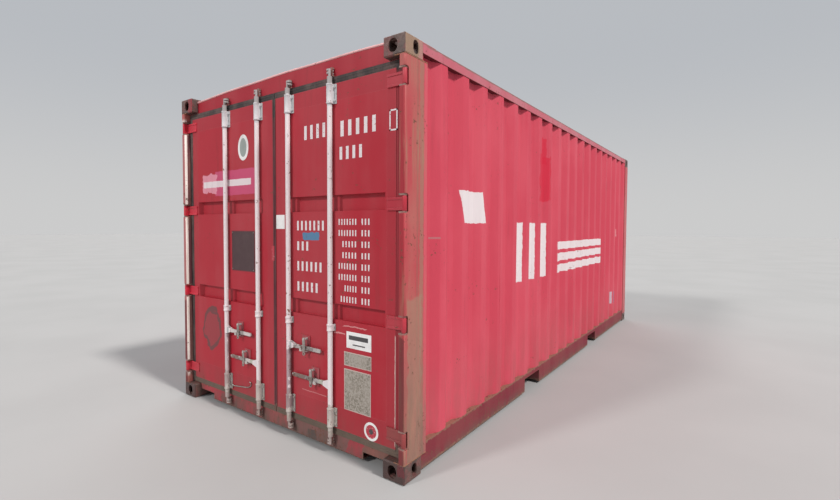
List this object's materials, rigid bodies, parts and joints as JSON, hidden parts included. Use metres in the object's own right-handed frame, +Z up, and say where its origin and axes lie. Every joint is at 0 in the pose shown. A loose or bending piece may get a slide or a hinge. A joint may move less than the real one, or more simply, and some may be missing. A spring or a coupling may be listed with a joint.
{
  "type": "shipping container",
  "caption": "Steel cargo container with pressed vertical walls, full-height hinged end doors, locking bars with handles, corner castings and a timber floor.",
  "frame": {"origin": "on the ground, under the middle of the container", "axes": "+Z up, +Y away from the doors along the length, +X to the right seen from the doors"},
  "size_m": [2.438, 6.058, 2.591],
  "materials": {
    "bare_casting": "rough",
    "post_paint": "worn satin",
    "frame_paint": "worn satin",
    "wall_paint": "satin",
    "door_paint": "satin",
    "underframe_paint": "matte",
    "worn_steel": "rough",
    "white_gear": "worn satin",
    "plated_steel": "dull",
    "seal_rubber": "matte",
    "floor_timber": "matte"
  },
  "bodies": {
    "container": {"corner_fittings_top_rear": "bare_casting", "corner_fittings_top_front": "bare_casting", "corner_fittings_bottom": "bare_casting", "post_rear_left": "post_paint", "post_rear_right": "post_paint", "posts_front": "frame_paint", "bottom_rails": "underframe_paint", "top_rails": "frame_paint", "door_header": "frame_paint", "door_sill": "frame_paint", "front_header": "frame_paint", "front_sill": "frame_paint", "side_wall_left": "wall_paint", "side_wall_right": "wall_paint", "front_wall": "wall_paint", "roof_panel": "wall_paint", "roof_corner_plates": "frame_paint", "cross_members": "underframe_paint", "fork_pocket_liners": "underframe_paint", "floor_boards": "floor_timber", "floor_centre_rail": "underframe_paint", "hinge_lugs": "worn_steel", "cam_keepers": "worn_steel"},
    "left_door": {"left_door_frame": "door_paint", "left_door_panel": "door_paint", "left_door_seal": "seal_rubber", "left_door_hinges": "door_paint", "left_bar_brackets": "white_gear"},
    "right_door": {"right_door_frame": "door_paint", "right_door_panel": "door_paint", "right_door_seal": "seal_rubber", "right_door_hinges": "door_paint", "right_bar_brackets": "white_gear"},
    "bar_1": {"locking_bar_1": "white_gear"},
    "handle_arm_1": {"handle_1": "white_gear"},
    "catch_plate_1": {"catch_1": "plated_steel"},
    "bar_2": {"locking_bar_2": "white_gear"},
    "handle_arm_2": {"handle_2": "white_gear"},
    "catch_plate_2": {"catch_2": "plated_steel"},
    "bar_3": {"locking_bar_3": "white_gear"},
    "handle_arm_3": {"handle_3": "white_gear"},
    "catch_plate_3": {"catch_3": "plated_steel"},
    "bar_4": {"locking_bar_4": "white_gear"},
    "handle_arm_4": {"handle_4": "white_gear"},
    "catch_plate_4": {"catch_4": "plated_steel"}
  },
  "joints": [
    {"name": "left_door_swing", "type": "hinge", "parent": "container", "child": "left_door", "pos_m": [-1.204, -3.013, 1.3], "axis": [0, 0, -1], "range_deg": [0, 265]},
    {"name": "right_door_swing", "type": "hinge", "parent": "container", "child": "right_door", "pos_m": [1.204, -3.013, 1.3], "axis": [0, 0, 1], "range_deg": [0, 265]},
    {"name": "bar_1_turn", "type": "hinge", "parent": "left_door", "child": "bar_1", "pos_m": [-0.595, -3.006, 1.3], "axis": [0, 0, 1], "range_deg": [-105, 0]},
    {"name": "bar_2_turn", "type": "hinge", "parent": "left_door", "child": "bar_2", "pos_m": [-0.177, -3.006, 1.3], "axis": [0, 0, -1], "range_deg": [-105, 0]},
    {"name": "bar_3_turn", "type": "hinge", "parent": "right_door", "child": "bar_3", "pos_m": [0.177, -3.006, 1.3], "axis": [0, 0, 1], "range_deg": [-105, 0]},
    {"name": "bar_4_turn", "type": "hinge", "parent": "right_door", "child": "bar_4", "pos_m": [0.595, -3.006, 1.3], "axis": [0, 0, -1], "range_deg": [-105, 0]},
    {"name": "handle_1_lift", "type": "hinge", "parent": "bar_1", "child": "handle_arm_1", "pos_m": [-0.553, -3.006, 0.665], "axis": [0, 1, 0], "range_deg": [-12, 0]},
    {"name": "handle_2_lift", "type": "hinge", "parent": "bar_2", "child": "handle_arm_2", "pos_m": [-0.219, -3.006, 0.46], "axis": [0, -1, 0], "range_deg": [-12, 0]},
    {"name": "handle_3_lift", "type": "hinge", "parent": "bar_3", "child": "handle_arm_3", "pos_m": [0.219, -3.006, 0.665], "axis": [0, 1, 0], "range_deg": [-12, 0]},
    {"name": "handle_4_lift", "type": "hinge", "parent": "bar_4", "child": "handle_arm_4", "pos_m": [0.553, -3.006, 0.46], "axis": [0, -1, 0], "range_deg": [-12, 0]},
    {"name": "catch_1_swing", "type": "hinge", "parent": "left_door", "child": "catch_plate_1", "pos_m": [-0.42, -3.02, 0.727], "axis": [0, 1, 0], "range_deg": [-90, 0]},
    {"name": "catch_2_swing", "type": "hinge", "parent": "left_door", "child": "catch_plate_2", "pos_m": [-0.352, -3.02, 0.522], "axis": [0, -1, 0], "range_deg": [-90, 0]},
    {"name": "catch_3_swing", "type": "hinge", "parent": "right_door", "child": "catch_plate_3", "pos_m": [0.352, -3.02, 0.727], "axis": [0, 1, 0], "range_deg": [-90, 0]},
    {"name": "catch_4_swing", "type": "hinge", "parent": "right_door", "child": "catch_plate_4", "pos_m": [0.42, -3.02, 0.522], "axis": [0, -1, 0], "range_deg": [-90, 0]}
  ]
}
